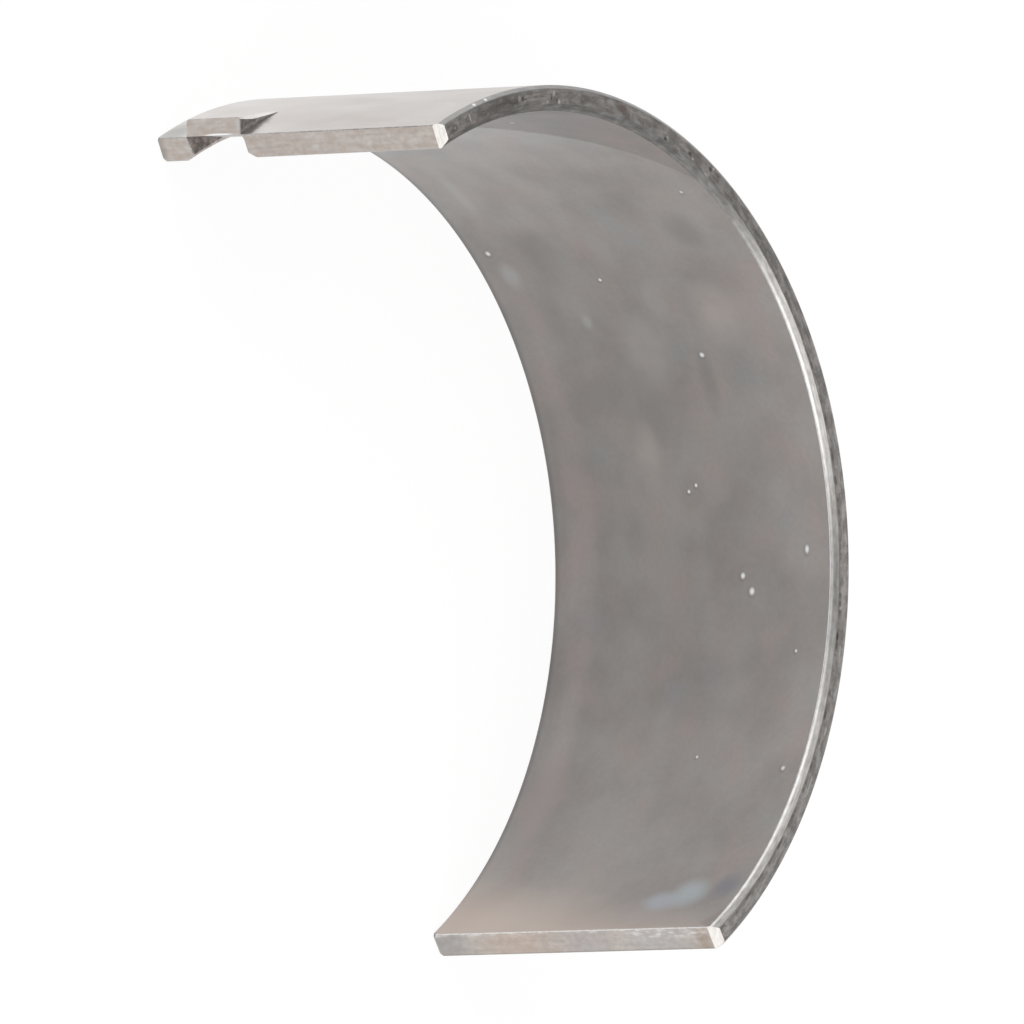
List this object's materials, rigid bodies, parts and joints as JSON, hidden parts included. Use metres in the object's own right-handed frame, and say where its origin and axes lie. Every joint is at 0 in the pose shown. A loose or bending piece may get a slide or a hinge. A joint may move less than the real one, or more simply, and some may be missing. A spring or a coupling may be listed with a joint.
{
  "type": "engine bearing shell",
  "caption": "Thin half-round plain bearing shell with a pressed-out locating lug at a joint face; lines the big end of a connecting rod around the crank journal.",
  "frame": {"origin": "on the bearing axis, at the middle of the shell's width", "axes": "+Z along the bearing axis, up from the plain side that it stands on; +Y from the axis to the crown; +X to the joint face without the lug"},
  "size_m": [0.0734, 0.0344, 0.028],
  "materials": {
    "bearing_metal": "satin grey steel with a dull grey lining in the bore"
  },
  "bodies": {
    "root": {"bearing_shell": "bearing_metal"}
  },
  "joints": []
}
